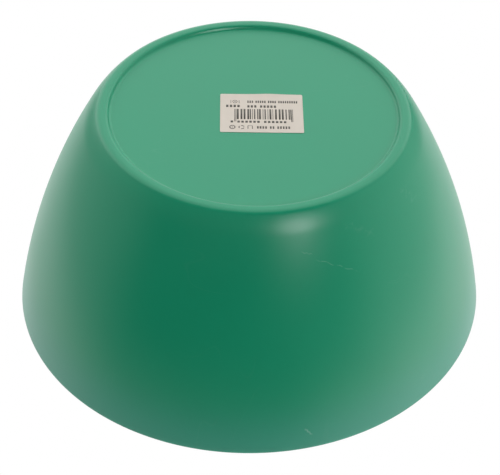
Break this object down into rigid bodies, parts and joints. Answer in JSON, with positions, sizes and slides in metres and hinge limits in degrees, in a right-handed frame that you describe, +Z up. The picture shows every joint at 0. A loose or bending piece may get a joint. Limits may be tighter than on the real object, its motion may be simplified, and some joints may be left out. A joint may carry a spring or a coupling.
{
  "type": "mixing bowl",
  "caption": "Round plastic mixing bowl with steep, gently curved walls, a plain rounded rim and a recessed underside inside a low foot ring, with a barcode label stuck underneath.",
  "frame": {"origin": "on the bowl's axis, in the plane of the foot ring's flat, which the bowl rests on", "axes": "+Z runs up the bowl's axis from the foot ring to the open rim, so the bowl stands upright; -Y is the front, and the label underneath reads with its long side along X"},
  "size_m": [0.25, 0.25, 0.1198],
  "materials": {
    "green_plastic": "satin",
    "label_paper": "matte"
  },
  "bodies": {
    "root": {"bowl": "green_plastic", "label": "label_paper"}
  },
  "joints": []
}
